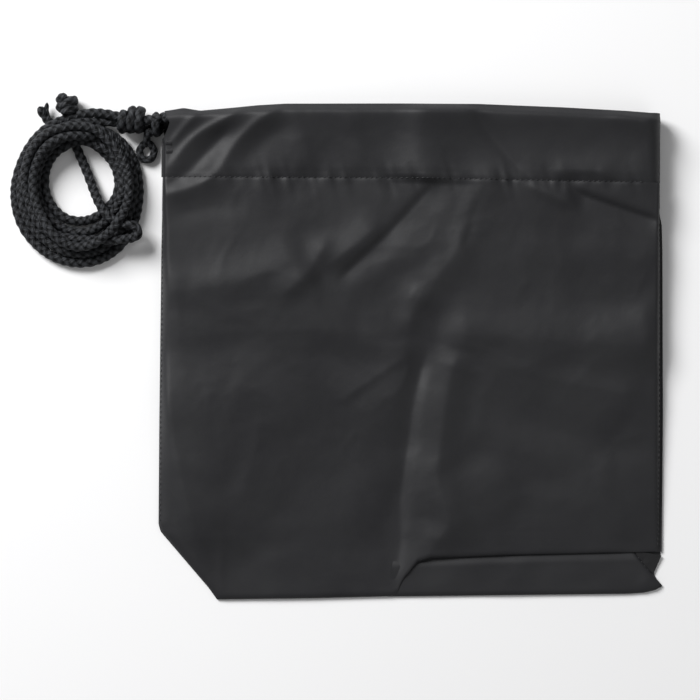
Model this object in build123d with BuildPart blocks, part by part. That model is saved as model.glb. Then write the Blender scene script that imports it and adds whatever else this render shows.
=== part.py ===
"""Drawstring storage pouch lying flat, with its braided drawcord coiled beside the mouth.

Units are millimetres. +Z is up, +Y points to the mouth and the base lies towards -Y.
The pouch is two sewn panels with a turned casing round the mouth and a boxed base.
"""

from build123d import *
import math
import os

os.makedirs("parts", exist_ok=True)

# Driving dimensions
top_y = 149.5              # folded edge of the mouth
bottom_y = -149.5          # lowest edge of the base
mouth_half_width = 149.4   # side edges at the casing
hem_depth = 45.0           # casing, from its fold to its stitch line
cloth = 0.6                # one layer of cloth
cord_d = 6.0               # braided drawcord
cord_slip = 0.2            # room round the cord in its casing
mouth_gap = 4.6            # slit between the two casings
base_rise = 3.4            # top of the front panel at the base crease
seam_margin = 3.0          # sewn edge outside the side stitching

# Worked out from them
seam_y = top_y - hem_depth
channel = cord_d + 2 * cord_slip
casing_h = channel + 2 * cloth
front_z = casing_h + mouth_gap
mouth_h = front_z + casing_h
hem_lap = 2 * cloth        # height of the casing at its stitch line
panel_top = front_z + hem_lap
cord_r = cord_d / 2
back_cord_z = cloth + channel / 2
front_cord_z = front_z + back_cord_z
fold_y = top_y - 2.5       # where the casing starts to round into its fold
fold_z = 2.2
ramp_y = 126.0             # the casing is full height from here to its fold
return_x = 128.5           # the casing turns from front to back beyond here
return_r = mouth_h / 2     # outside radius of that turn
return_centre_x = mouth_half_width + 2.0 - return_r

# Outline corners of the pouch, seen from above
left_hip = (-152.0, -106.0)
left_base = (-116.4, bottom_y)
crease_left = (-121.0, -143.5)
crease_mid = (12.0, -130.0)
crease_right = (135.6, -121.5)
base_mid = (11.4, -147.5)
base_right = (140.4, -145.5)
flap_tip = (151.8, -141.3)
notch = (146.7, -133.5)
right_hip = (152.0, -122.5)
right_side = (152.0, 77.0)
right_top = (mouth_half_width, seam_y)
left_top = (-mouth_half_width, seam_y)


def keep(block, name):
    """Label a finished piece and write its file."""
    block.part.label = name
    export_step(block.part, f"parts/{name}.step")


def plate(name, outline, low, high):
    """A flat piece of cloth between two heights."""
    with BuildPart() as flat:
        with BuildSketch(Plane.XY.offset(low)):
            Polygon(*outline, align=None)
        extrude(amount=high - low)
    keep(flat, name)


# ---- Panels ----

plate(
    "back_panel",
    [left_top, left_hip, left_base, base_mid, base_right, flap_tip, notch, right_hip, right_side, right_top],
    0,
    cloth,
)
plate(
    "base_panel",
    [crease_left, crease_mid, crease_right, notch, flap_tip, base_right, base_mid, left_base],
    cloth,
    2 * cloth,
)
plate("right_corner_tuck", [crease_right, notch, right_hip], cloth, 2 * cloth)
plate("left_corner_tuck", [(-140.0, -102.0), (-118.0, -128.0), (-114.0, -106.0)], cloth, 2 * cloth)

panel_edge = [left_top, left_hip, crease_left, crease_mid, crease_right, right_hip, right_side, right_top]

# The front panel falls from the casing to the base along one slope.
crown_low = [
    (-149.0, seam_y),
    (-148.8, -104.8),
    (-119.5, -138.9),
    (12.0, -126.4),
    (134.8, -118.0),
    (148.4, -118.6),
    (148.8, 77.0),
    (149.0, seam_y),
]
crown_high = [
    (-148.6, seam_y),
    (-134.0, -97.0),
    (-112.0, -120.0),
    (12.0, -110.0),
    (126.0, -104.0),
    (136.0, -102.0),
    (146.6, 77.0),
    (148.6, seam_y),
]
slope_run = seam_y - crown_high[3][1]
slope = math.atan2(panel_top - base_rise, slope_run)


def crown(inset, drop, past_mouth):
    """Loft between the foot and the sloping top of the front panel, shrunk by inset and drop."""

    def drawn_in(points):
        moved = []
        for x, y in points:
            at_mouth = y >= seam_y
            new_x = x - math.copysign(inset, x) if abs(x) > 20 else x
            new_y = y + past_mouth if at_mouth else y + inset
            moved.append((new_x, new_y if y < 0 or at_mouth else y))
        return moved

    top_plane = Plane(
        origin=(0, seam_y, panel_top - drop),
        x_dir=(1, 0, 0),
        z_dir=(0, -math.sin(slope), math.cos(slope)),
    )
    top_points = [(x, (y - seam_y) / math.cos(slope)) for x, y in drawn_in(crown_high)]
    with BuildPart() as body:
        with BuildSketch(Plane.XY.offset(cloth)):
            Polygon(*drawn_in(crown_low), align=None)
        with BuildSketch(top_plane):
            Polygon(*top_points, align=None)
        loft(ruled=True)
    return body.part


crown_outside = crown(0, 0, 0)
crown_inside = crown(cloth, cloth, 1.0)

with BuildPart() as front_panel:
    with BuildSketch(Plane.XY.offset(cloth)):
        Polygon(*panel_edge, align=None)
    extrude(amount=cloth)
    add(crown_outside)
    add(crown_inside, mode=Mode.SUBTRACT)
keep(front_panel, "front_panel")

# ---- Casing round the mouth ----

ramp_foot_y = seam_y + 1.5
hollow_foot_y = seam_y + 3.0
ramp_slope = (casing_h - hem_lap) / (ramp_y - ramp_foot_y)
ramp_wall = cloth * math.hypot(1, ramp_slope)


def hem_outline(height):
    """Side view of the hem, from its stitch line to its fold."""
    lap = height - casing_h + hem_lap
    return [
        (seam_y, 0),
        (fold_y, 0),
        (top_y, fold_z),
        (top_y, height - fold_z),
        (fold_y, height),
        (ramp_y, height),
        (ramp_foot_y, lap),
        (seam_y, lap),
    ]


def hollow_outline(height):
    """The room inside the hem, one layer of cloth inside its outline."""
    lap = height - casing_h + hem_lap
    foot_z = lap + (hollow_foot_y - ramp_foot_y) * ramp_slope - ramp_wall
    return [
        (hollow_foot_y, cloth),
        (fold_y - 0.2, cloth),
        (top_y - cloth, fold_z + 0.2),
        (top_y - cloth, height - fold_z - 0.2),
        (fold_y - 0.2, height - cloth),
        (ramp_y, height - cloth),
        (hollow_foot_y, foot_z),
    ]


def casing(name, base_z):
    """Half of the turned hem: a flat tube of cloth that the cord runs through."""
    with BuildPart() as hem:
        with BuildSketch(Plane.YZ.offset(-mouth_half_width + cloth)):
            with Locations((0, base_z)):
                Polygon(*hem_outline(casing_h), align=None)
                Polygon(*hollow_outline(casing_h), align=None, mode=Mode.SUBTRACT)
        extrude(amount=return_x + mouth_half_width - cloth)
    keep(hem, name)


casing("front_casing", front_z)
casing("back_casing", 0)


def turned_hem(outline, radius):
    """The hem's side view carried round the turn at the right end of the mouth."""
    with BuildPart() as turn:
        with BuildSketch(Plane.YZ.offset(return_x)):
            Polygon(*outline, align=None)
        extrude(amount=2 * return_r)
        with BuildSketch(Plane.XZ):
            with Locations((return_x, mouth_h / 2)):
                Rectangle(return_centre_x - return_x, 2 * radius, align=(Align.MIN, Align.CENTER))
            with Locations((return_centre_x, mouth_h / 2)):
                Circle(radius)
        extrude(amount=2 * top_y, both=True, mode=Mode.INTERSECT)
    return turn.part


turn_outside = turned_hem(hem_outline(mouth_h), return_r)
turn_space = turned_hem(hollow_outline(mouth_h), return_r - cloth)

# The inner layer of the hem crosses between the channels at the end of the mouth.
with BuildPart() as right_casing_return:
    add(turn_outside)
    add(turn_space, mode=Mode.SUBTRACT)
    with BuildSketch(Plane.YZ.offset(return_x)):
        Polygon(*hem_outline(mouth_h), align=None)
        for base_z in (0, front_z):
            with Locations((0, base_z)):
                Polygon(*hollow_outline(casing_h), align=None, mode=Mode.SUBTRACT)
    extrude(amount=cloth)
keep(right_casing_return, "right_casing_return")

# Left end: closed below, with one way out for each leg of the cord
exit_low_y = ramp_y + 0.6
exit_high_y = fold_y - 0.2
with BuildPart() as left_casing_end:
    with BuildSketch(Plane.YZ.offset(-mouth_half_width)):
        Polygon(*hem_outline(mouth_h), align=None)
        for base_z in (0, front_z):
            with Locations(((exit_low_y + exit_high_y) / 2, base_z + casing_h / 2)):
                Rectangle(exit_high_y - exit_low_y, channel, mode=Mode.SUBTRACT)
    extrude(amount=cloth)
keep(left_casing_end, "left_casing_end")

# ---- Sewing thread ----

stitch_pitch = 3.0
stitch_length = 2.2
stitch_width = 0.5
stitch_height = 0.25


def stitch_row(name, corners, low):
    """Short stitches along straight runs between the corners, lying on the cloth at height low."""
    with BuildPart() as row:
        for start, end in zip(corners, corners[1:]):
            run = math.dist(start, end)
            heading = math.degrees(math.atan2(end[1] - start[1], end[0] - start[0]))
            count = int((run - stitch_length) / stitch_pitch)
            first = (run - (count - 1) * stitch_pitch) / 2
            along = Plane(origin=(start[0], start[1], low)).rotated((0, 0, heading))
            spots = [(first + step * stitch_pitch, 0) for step in range(count)]
            with BuildSketch(along):
                with Locations(*spots):
                    Rectangle(stitch_length, stitch_width)
            extrude(amount=stitch_height)
    keep(row, name)


stitch_inset = 0.75
hem_stitch_y = seam_y + stitch_inset
side_stitch = seam_margin / 2
stitch_row("front_casing_stitching", [(-148.0, hem_stitch_y), (139.0, hem_stitch_y)], panel_top)
stitch_row("back_casing_stitching", [(-148.0, hem_stitch_y), (return_x - 1, hem_stitch_y)], hem_lap)
stitch_row(
    "left_side_stitching",
    [(left_top[0] - 0.9, 77.0), (left_hip[0] + side_stitch, left_hip[1])],
    2 * cloth,
)
stitch_row(
    "right_side_stitching",
    [(right_side[0] - side_stitch, 77.0), (right_hip[0] - side_stitch, right_hip[1] + 2)],
    2 * cloth,
)
stitch_row(
    "corner_stitching",
    [(crease_right[0], crease_right[1] - 2), (notch[0] - 0.8, notch[1] - 1), (flap_tip[0] - 2, flap_tip[1])],
    2 * cloth,
)

bartack_length = 3.5
bartack_height = 1.4
with BuildPart() as exit_bartacks:
    for base_z in (0, front_z):
        with BuildSketch(Plane.YZ.offset(-mouth_half_width - stitch_width)):
            with Locations((exit_low_y - 2.5, base_z + 3.0)):
                Rectangle(bartack_length, bartack_height)
        extrude(amount=stitch_width)
keep(exit_bartacks, "exit_bartacks")

# ---- Drawcord ----


def cord_tube(name, points, radii):
    """A plain tube of the cord's diameter: straight runs joined by tangent arcs."""
    with BuildPart() as tube:
        with BuildLine():
            route = FilletPolyline(*points, radius=radii)
        with BuildSketch(Plane(origin=route @ 0, z_dir=route % 0)):
            Circle(cord_r)
        sweep()
    print(f"{name}: {route.length:.1f} long")
    keep(tube, name)


# Inside the casing: out along the front, round the right side, back along the back.
run_start_x = -mouth_half_width + 0.4
turn_x = return_centre_x + return_r - 2 * cloth - cord_r
front_exit_y = 139.0
back_exit_y = 132.4
fold_cord_y = 143.5
turn_r = (front_cord_z - back_cord_z) / 2 - 0.05
cord_tube(
    "drawcord_in_casing",
    [
        (run_start_x, front_exit_y, front_cord_z),
        (-75.0, fold_cord_y, front_cord_z),
        (turn_x, fold_cord_y, front_cord_z),
        (turn_x, fold_cord_y, back_cord_z),
        (-60.0, fold_cord_y - 2.0, back_cord_z),
        (run_start_x, back_exit_y, back_cord_z),
    ],
    [400.0, turn_r, turn_r, 500.0],
)

# From the exit to the gather knot
cord_tube(
    "drawcord_front_neck",
    [
        (run_start_x - 0.2, front_exit_y, front_cord_z),
        (-153.2, front_exit_y - 0.3, front_cord_z - 0.8),
        (-158.8, front_exit_y - 0.6, 10.6),
    ],
    [6.0],
)
cord_tube(
    "drawcord_back_neck",
    [
        (run_start_x - 0.2, back_exit_y, back_cord_z),
        (-153.4, back_exit_y + 0.2, back_cord_z + 0.2),
        (-159.0, back_exit_y + 1.8, back_cord_z + 1.6),
    ],
    [8.0],
)

knot_size = (21.0, 17.0, 15.0)
knot_centre = (-165.4, 138.0, knot_size[2] / 2 + 0.2)
with BuildPart() as gather_knot:
    with Locations(Location(knot_centre)):
        Box(*knot_size)
    fillet(gather_knot.edges(), radius=6.5)
keep(gather_knot, "gather_knot")

loop_centre = (-158.2, 119.6, cord_r + 0.1)
loop_r = 4.8
with BuildPart() as small_loop:
    with Locations(Location(loop_centre)):
        Torus(loop_r, cord_r)
    with BuildSketch(Plane.XZ.offset(-loop_centre[1] - loop_r)):
        with Locations((loop_centre[0], loop_centre[2])):
            Circle(cord_r - 0.4)
    extrude(amount=-8.0)
keep(small_loop, "small_loop")

coil_centre = (-198.6, 97.8)
coil_radii = (40.2, 49.0)
coil_hole_centre = (-196.8, 101.7)
coil_hole_radii = (19.8, 20.7)
coil_height = 13.5
with BuildPart() as drawcord_coil:
    with BuildSketch(Plane.XY):
        with Locations(coil_centre):
            Ellipse(*coil_radii)
        with Locations(coil_hole_centre):
            Ellipse(*coil_hole_radii, mode=Mode.SUBTRACT)
    extrude(amount=coil_height)
    fillet(drawcord_coil.edges(), radius=3.0)
keep(drawcord_coil, "drawcord_coil")

end_knot_r = 6.6
with BuildPart() as end_knot:
    with Locations((-205.6, 147.8, end_knot_r + 0.2)):
        Sphere(end_knot_r)
keep(end_knot, "end_knot")

with BuildPart() as tail_tip:
    with Locations(Location((-221.0, 142.2, 6.2), (0, 0, 12))):
        Box(9.0, 12.0, 8.0)
    fillet(tail_tip.edges(), radius=3.0)
keep(tail_tip, "tail_tip")
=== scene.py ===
# Drawstring storage pouch lying flat, with its braided cord coiled beside the mouth.
# Lengths in this script are millimetres until a mesh or a call is made, where mm turns them into metres.
import math
import bpy
import numpy as np
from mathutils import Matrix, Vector


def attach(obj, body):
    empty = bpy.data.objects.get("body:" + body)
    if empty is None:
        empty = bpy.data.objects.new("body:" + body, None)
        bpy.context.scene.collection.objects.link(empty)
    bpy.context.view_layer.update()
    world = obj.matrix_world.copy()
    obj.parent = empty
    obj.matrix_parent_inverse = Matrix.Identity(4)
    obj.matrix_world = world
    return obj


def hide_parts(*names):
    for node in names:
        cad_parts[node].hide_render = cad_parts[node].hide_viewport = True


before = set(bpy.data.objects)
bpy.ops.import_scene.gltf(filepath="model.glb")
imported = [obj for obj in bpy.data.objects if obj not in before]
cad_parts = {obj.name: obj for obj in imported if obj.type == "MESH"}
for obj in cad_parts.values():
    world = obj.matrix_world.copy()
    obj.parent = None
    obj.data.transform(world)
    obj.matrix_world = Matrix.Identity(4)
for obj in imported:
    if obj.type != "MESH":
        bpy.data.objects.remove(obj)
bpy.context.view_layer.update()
mm = 0.001
print("frame loaded")


camera = {
    "middle": (-36.6, 0.9),    # the place on the floor that it looks straight down at
    "width": 420.0,            # width that it takes in
    "widthAt": 8.0,            # height at which it takes in that width
    "height": 1500.0,
    "sensor": 36.0,
}
cameraData = bpy.data.cameras.new("camera")
cameraData.sensor_width = camera["sensor"]
cameraData.lens = camera["sensor"] * (camera["height"] - camera["widthAt"]) / camera["width"]
cameraData.clip_end = 20.0
cameraObject = bpy.data.objects.new("camera", cameraData)
cameraObject.location = (camera["middle"][0] * mm, camera["middle"][1] * mm, camera["height"] * mm)
bpy.context.collection.objects.link(cameraObject)
bpy.context.scene.camera = cameraObject


def unit(vectors):
    return vectors / np.maximum(np.linalg.norm(vectors, axis=-1, keepdims=True), 1e-9)


def quarterRound(share):
    # rises from 0 to 1 as a quarter of a circle does
    return np.sqrt(np.clip(1 - (1 - np.clip(share, 0, 1)) ** 2, 0, 1))


def smoothStep(share):
    return share * share * (3 - 2 * share)


def makePiece(name, points, quads, triangles=np.zeros((0, 3), int), uv=None, values=None):
    # points in mm, quads and triangles as rows of point numbers, uv as one pair per corner of the quads,
    # and values as named numbers for each point
    mesh = bpy.data.meshes.new(name)
    mesh.vertices.add(len(points))
    mesh.vertices.foreach_set("co", (points * mm).astype(np.float32).ravel())
    mesh.loops.add(quads.size + triangles.size)
    mesh.loops.foreach_set("vertex_index", np.r_[quads.ravel(), triangles.ravel()].astype(np.int32))
    starts = np.r_[np.arange(len(quads)) * 4, quads.size + np.arange(len(triangles)) * 3]
    mesh.polygons.add(len(starts))
    mesh.polygons.foreach_set("loop_start", starts.astype(np.int32))
    mesh.update(calc_edges=True)
    mesh.polygons.foreach_set("use_smooth", np.ones(len(starts), dtype=bool))
    if uv is not None:
        layer = mesh.uv_layers.new(name="UVMap")
        layer.data.foreach_set("uv", np.r_[uv, np.zeros((triangles.size, 2))].astype(np.float32).ravel())
    for label, amounts in (values or {}).items():
        attribute = mesh.attributes.new(label, "FLOAT", "POINT")
        attribute.data.foreach_set("value", amounts.astype(np.float32).ravel())
    mesh.validate()
    piece = bpy.data.objects.new(name, mesh)
    bpy.context.collection.objects.link(piece)
    return piece


def gridFaces(rows, columns, wrap=False):
    # quads between neighbouring rows and columns; wrap joins the last column to the first
    last = columns if wrap else columns - 1
    i, j = np.meshgrid(np.arange(rows - 1), np.arange(last), indexing="ij")
    k = (j + 1) % columns
    row, nextRow = i * columns, (i + 1) * columns
    return np.stack([row + j, row + k, nextRow + k, nextRow + j], -1).reshape(-1, 4)


def readRoute(points, spacing):
    # the smooth line that a NURBS spline makes of the control points, at even steps
    curve = bpy.data.curves.new("route", "CURVE")
    curve.dimensions = "3D"
    spline = curve.splines.new("NURBS")
    spline.points.add(len(points) - 1)
    spline.points.foreach_set("co", np.c_[points, np.ones(len(points))].ravel())
    spline.order_u = 3
    spline.use_endpoint_u = True
    curve.resolution_u = 12
    holder = bpy.data.objects.new("route", curve)
    bpy.context.collection.objects.link(holder)
    bpy.context.view_layer.update()
    mesh = bpy.data.meshes.new_from_object(holder.evaluated_get(bpy.context.evaluated_depsgraph_get()))
    line = np.empty(len(mesh.vertices) * 3, dtype=np.float32)
    mesh.vertices.foreach_get("co", line)
    bpy.data.meshes.remove(mesh)
    bpy.data.objects.remove(holder)
    bpy.data.curves.remove(curve)
    return evenSteps(line.reshape(-1, 3).astype(float), spacing)


def evenSteps(line, spacing):
    reach = np.r_[0, np.cumsum(np.linalg.norm(np.diff(line, axis=0), axis=1))]
    count = max(int(round(reach[-1] / spacing)), 4)
    at = np.linspace(0, reach[-1], count + 1)
    return np.stack([np.interp(at, reach, line[:, axis]) for axis in range(3)], -1)


def lineLength(line):
    return float(np.linalg.norm(np.diff(line, axis=0), axis=1).sum())


def softNoise(x, y, cell, seed):
    # random values on a turned lattice with a smooth step between neighbours, from -1 to 1
    size = 96
    values = np.random.default_rng(seed).uniform(-1, 1, (size, size))
    x, y = x * math.cos(seed) - y * math.sin(seed), x * math.sin(seed) + y * math.cos(seed)
    px, py = x / cell + 40.3, y / cell + 40.7
    i, j = np.floor(px).astype(int), np.floor(py).astype(int)
    fx, fy = smoothStep(px - i), smoothStep(py - j)
    i, j = i % (size - 1), j % (size - 1)
    low = values[i, j] * (1 - fx) + values[i + 1, j] * fx
    high = values[i, j + 1] * (1 - fx) + values[i + 1, j + 1] * fx
    return low * (1 - fy) + high * fy


braid = {
    "diameter": 6.0,
    "plaits": 3,            # yarns that run each way round
    "lay": 15.5,            # length in which a yarn goes once round
    "relief": 0.27,         # depth between yarns, as a share of the radius
    "weave": 0.10,          # rise of a yarn where it crosses over another
    "uneven": 0.10,         # how far the pattern strays along the cord, in lays
    "unevenTurn": 0.035,    # and round it, in turns
    "unevenLength": 9.0,    # length over which it strays
    "around": 28,           # points round the cord
    "step": 0.75,           # distance between rings of points
}


def braidTube(name, path, up=(0, 0, 1), diameter=braid["diameter"], step=braid["step"], taper=0.0):
    # A tube along the path. Its radius is the higher of two sets of helical yarns, one turning each way:
    # a round hill across each yarn, plus a sine along it that lifts it over one crossing and under the next.
    line = evenSteps(path, step)
    along = np.r_[0, np.cumsum(np.linalg.norm(np.diff(line, axis=0), axis=1))][:, None]
    tangent = unit(np.gradient(line, axis=0))
    side = unit(np.cross(tangent, np.array(up, float)))
    lift = np.cross(side, tangent)
    angle = np.linspace(0, 2 * math.pi, braid["around"], endpoint=False)[None, :]
    stray = softNoise(along, 0 * along + len(line), braid["unevenLength"], 71)
    turn = (angle / (2 * math.pi) + braid["unevenTurn"] * stray) * braid["plaits"]
    run = (along / braid["lay"] + braid["uneven"] * stray) * braid["plaits"]
    first = turn + run
    second = turn - run
    acrossOne = 2 * (first % 1) - 1
    acrossTwo = 2 * (second % 1) - 1
    overOne = np.sin(math.pi * (second + np.floor(first)))
    overTwo = -np.sin(math.pi * (first + np.floor(second)))
    heightOne = braid["relief"] * np.sqrt(np.maximum(1 - acrossOne ** 2, 0)) + braid["weave"] * overOne
    heightTwo = braid["relief"] * np.sqrt(np.maximum(1 - acrossTwo ** 2, 0)) + braid["weave"] * overTwo
    height = np.maximum(heightOne, heightTwo)
    across = np.where(heightOne > heightTwo, acrossOne, acrossTwo)
    radius = diameter / 2 * (1 - braid["relief"] - braid["weave"] + height)
    radius = radius * (1 - taper * (along / along[-1]) ** 2)
    for fromEnd in (along, along[-1] - along):
        radius = radius * quarterRound(np.maximum(fromEnd / (diameter / 2), 0.03))
    ring = np.cos(angle)[..., None] * side[:, None, :] + np.sin(angle)[..., None] * lift[:, None, :]
    points = (line[:, None, :] + radius[..., None] * ring).reshape(-1, 3)
    rows, columns = radius.shape
    quads = gridFaces(rows, columns, wrap=True)[:, ::-1]
    u = np.arange(columns + 1) / columns
    v = along[:, 0] / braid["lay"]
    i, j = np.meshgrid(np.arange(rows - 1), np.arange(columns), indexing="ij")
    corners = ((j, i + 1), (j + 1, i + 1), (j + 1, i), (j, i))
    uv = np.stack([np.stack([u[a], v[b]], -1) for a, b in corners], 2)
    # a point at each end closes the tube
    count = rows * columns
    here = np.arange(columns)
    after = (here + 1) % columns
    start = np.stack([np.full(columns, count), here, after], -1)
    end = np.stack([np.full(columns, count + 1), count - columns + after, count - columns + here], -1)
    values = {
        "yarnHeight": np.r_[height.ravel() / (braid["relief"] + braid["weave"]), 0, 0],
        "yarnAcross": np.r_[across.ravel(), 0, 0],
    }
    points = np.r_[points, line[:1], line[-1:]]
    return makePiece(name, points, quads, np.r_[start, end], uv.reshape(-1, 2), values), line


coil = {
    "outer": (-200.2, 96.6, 38.4, 47.2),    # centre and half widths of the largest turn
    "inner": (-198.2, 102.6, 24.8, 25.6),   # and of the smallest
    "floorTurn": 3.1,                       # height of a turn that lies on the floor
    "layer": 5.0,                           # rise from one layer to the next
    "hump": 6.2,                            # rise over the two ends where they leave the coil
    "humpAt": 114,                          # degrees round the coil
    "humpFlat": 14,                         # degrees to each side over which the hump is level
    "humpFade": 20,                         # and over which it falls away
    "step": 7.5,                            # degrees between points of a turn
    "rounds": 160,                          # rounds of settling
    "closest": 0.97,                        # nearest that two stretches settle to, in diameters
    "push": 0.24,                           # share of an overlap that a round takes away
    "smoothing": 0.12,                      # pull towards the middle of a point's neighbours
    "memory": 0.012,                        # pull back to where a point was laid
    "sink": 0.035,                          # fall in each round
    "limit": 3.4,                           # the furthest that settling moves a point
    "heldStart": 6,                         # points of each route that settling leaves alone at its start
    "heldFold": 8,                          # and points of the front leg's tight fold
}
# the coil's outer edge draws in at the top, where only the legs run outside it
edgeAngle = [0, 20, 45, 60, 90, 110, 128, 150, 360]
edgeShare = [0.0, 0.0, 0.08, 0.24, 0.40, 0.30, 0.08, 0.0, 0.0]


def coilPoints(angle, share, layer, sway, humped):
    # a point between the outer and the inner ellipse at each angle, by the share of the coil's width
    a = np.radians(angle)
    edge = np.interp(angle % 360, edgeAngle, edgeShare)
    mix = (edge + (1 - edge) * share)[:, None]
    (x1, y1, a1, b1), (x2, y2, a2, b2) = coil["outer"], coil["inner"]
    outer = np.stack([x1 + a1 * np.cos(a), y1 + b1 * np.sin(a)], -1)
    inner = np.stack([x2 + a2 * np.cos(a), y2 + b2 * np.sin(a)], -1)
    flat = outer * (1 - mix) + inner * mix
    flat = flat + sway[0] * np.stack([np.cos(2.3 * a + sway[1]), np.sin(3.1 * a + sway[1])], -1)
    away = np.abs((angle % 360) - coil["humpAt"])
    fade = np.exp(-np.maximum(away - coil["humpFlat"], 0) ** 2 / coil["humpFade"] ** 2)
    rise = coil["hump"] * fade * humped
    return np.c_[flat, coil["floorTurn"] + coil["layer"] * layer + rise]


# each leg's turns: the angle, the share of the ring's width, the layer, the sway, and where it rises over
# the ends
frontAngle = np.arange(122, 1382, coil["step"])
frontTurns = coilPoints(
    frontAngle,
    np.interp(frontAngle, [122, 390, 470, 760, 830, 1000, 1120, 1230, 1340, 1404],
              [0.0, 0.02, 0.46, 0.5, 0.62, 0.42, 0.36, 0.22, 0.55, 0.5]),
    np.interp(frontAngle, [122, 180, 480, 760, 840, 1110, 1190, 1300, 1404],
              [1.0, 0.1, 0, 0, 1.7, 1.9, 1.8, 1.0, 1.6]),
    (0.8, 0.4),
    1.0,
)
frontRoute = np.r_[
    [
        (-149.0, 139.0, 16.0),
        (-153.2, 138.7, 15.2),
        (-158.8, 138.6, 11.6),
        (-165.0, 138.8, 9.4),
        (-171.0, 139.6, 9.0),
        (-177.0, 141.2, 9.0),
        (-184.0, 144.0, 9.2),
        (-190.4, 145.0, 9.6),
        (-196.6, 144.2, 9.8),
        (-203.0, 141.8, 9.8),
        (-209.4, 138.8, 9.6),
    ],
    frontTurns,
    [
        (-180.0, 66.6, 11.4),
        (-174.6, 66.8, 11.4),
        (-170.2, 67.6, 11.4),
        (-166.8, 68.0, 11.5),
        (-164.2, 69.2, 11.6),
        (-163.2, 71.8, 11.8),
        (-164.2, 74.4, 12.0),
        (-166.8, 75.6, 12.2),
        (-170.4, 75.8, 12.4),
        (-175.6, 75.6, 12.6),
        (-181.6, 76.6, 12.6),
        (-187.6, 80.6, 11.0),
        (-190.2, 86.2, 8.0),
        (-190.8, 92.8, 4.6),
        (-191.4, 100.4, 3.1),
        (-193.6, 109.0, 3.1),
        (-197.8, 117.2, 3.1),
        (-202.4, 125.4, 3.1),
        (-204.8, 132.6, 3.1),
        (-205.8, 139.0, 3.1),
        (-205.8, 143.0, 3.8),
        (-205.7, 146.6, 4.8),
    ],
]
backAngle = np.arange(125, 1172, coil["step"])
backTurns = coilPoints(
    backAngle,
    np.interp(backAngle, [125, 160, 400, 470, 760, 840, 1000, 1172],
              [0.34, 0.24, 0.26, 0.70, 0.74, 0.97, 1.0, 0.98]),
    np.interp(backAngle, [125, 400, 470, 760, 850, 1172], [1.0, 0.9, 0.9, 0.9, 0.0, 0.0]),
    (0.7, 2.1),
    np.interp(backAngle, [125, 1060, 1110, 1172], [1, 1, 0, 0]),
)
backRoute = np.r_[
    [
        (-149.0, 132.4, 3.8),
        (-153.4, 132.6, 4.0),
        (-159.0, 134.2, 5.0),
        (-165.0, 136.0, 5.4),
        (-171.4, 137.0, 5.4),
        (-178.0, 138.0, 5.6),
        (-184.4, 138.2, 6.4),
        (-190.4, 137.8, 8.4),
        (-196.6, 136.4, 10.6),
        (-202.6, 134.6, 12.0),
        (-208.4, 132.4, 12.0),
    ],
    backTurns,
    [
        (-207.6, 124.6, 3.1),
        (-212.4, 126.4, 3.1),
        (-216.0, 130.6, 3.1),
        (-218.4, 135.6, 3.1),
        (-220.2, 140.0, 3.6),
        (-221.6, 144.0, 4.4),
    ],
]


def settle(routes, foldStart):
    # Lets the turns come to rest on one another: points nearer than a diameter move apart, each point sinks a
    # little and is drawn towards the middle of its neighbours, and nothing goes below the floor or far from
    # where it was laid. The front leg's tight fold, from its point foldStart on, keeps its place.
    points = np.concatenate(routes)
    laid = points.copy()
    count = [len(route) for route in routes]
    strand = np.repeat(np.arange(len(routes)), count)
    order = np.concatenate([np.arange(n) for n in count])
    own = (strand[:, None] == strand[None, :]) & (np.abs(order[:, None] - order[None, :]) < 3)
    folded = (strand == 0) & (order >= foldStart) & (order < foldStart + coil["heldFold"])
    isLast = order == np.array(count)[strand] - 1
    free = ((order >= coil["heldStart"]) & ~isLast & ~folded)[:, None]
    inside = (order > 0) & ~isLast
    for _ in range(coil["rounds"]):
        gap = points[:, None, :] - points[None, :, :]
        distance = np.linalg.norm(gap, axis=-1) + 1e-6
        overlap = np.where(own, 0, np.clip(braid["diameter"] * coil["closest"] - distance, 0, None))
        move = (gap / distance[..., None] * overlap[..., None] * coil["push"]).sum(1)
        smooth = np.zeros_like(points)
        smooth[1:-1] = (points[:-2] + points[2:]) / 2 - points[1:-1]
        smooth[~inside] = 0
        move = move + coil["smoothing"] * smooth + coil["memory"] * (laid - points)
        move[:, 2] -= coil["sink"]
        points = points + np.where(free, move, 0)
        points[:, 2] = np.maximum(points[:, 2], coil["floorTurn"])
        points = laid + np.clip(points - laid, -coil["limit"], coil["limit"])
    return np.split(points, np.cumsum(count)[:-1])


frontRoute, backRoute = settle([frontRoute, backRoute], 12 + len(frontTurns))
frontLine = readRoute(frontRoute, braid["step"])
backLine = readRoute(backRoute, braid["step"])
frontLeg, frontPath = braidTube("cordFrontLeg", frontLine)
backLeg, backPath = braidTube("cordBackLeg", backLine)
print("legs of the cord", round(lineLength(frontPath)), round(lineLength(backPath)), "mm")


pouch = {
    "cloth": 0.5,            # thickness of the cloth
    "lowest": 1.6,           # the front cloth never lies lower than this
    "easing": 0.45,          # how softly that limit is reached
    "floorGap": 1.3,         # height of the side seams' margins
    "grid": 1.6,             # distance between neighbouring points
    "hem": 0.75,             # rise of the casing over the panel
    "ridge": 4.0,            # rise of the casing over the cord
    "ridgeWidth": 4.6,
    "cordHeight": 15.8,      # height of the cord's middle in the front casing
    "cordRoom": 3.75,        # and the room around it
    "foldStrength": 1.25,    # share of the heights listed for the folds
    "pucker": 1.5,           # height of the ripples along the seam
    "puckerReach": 4.4,      # how far they reach from it
    "seamDepth": 0.3,        # depth of the line that the seam presses in
}
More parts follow.
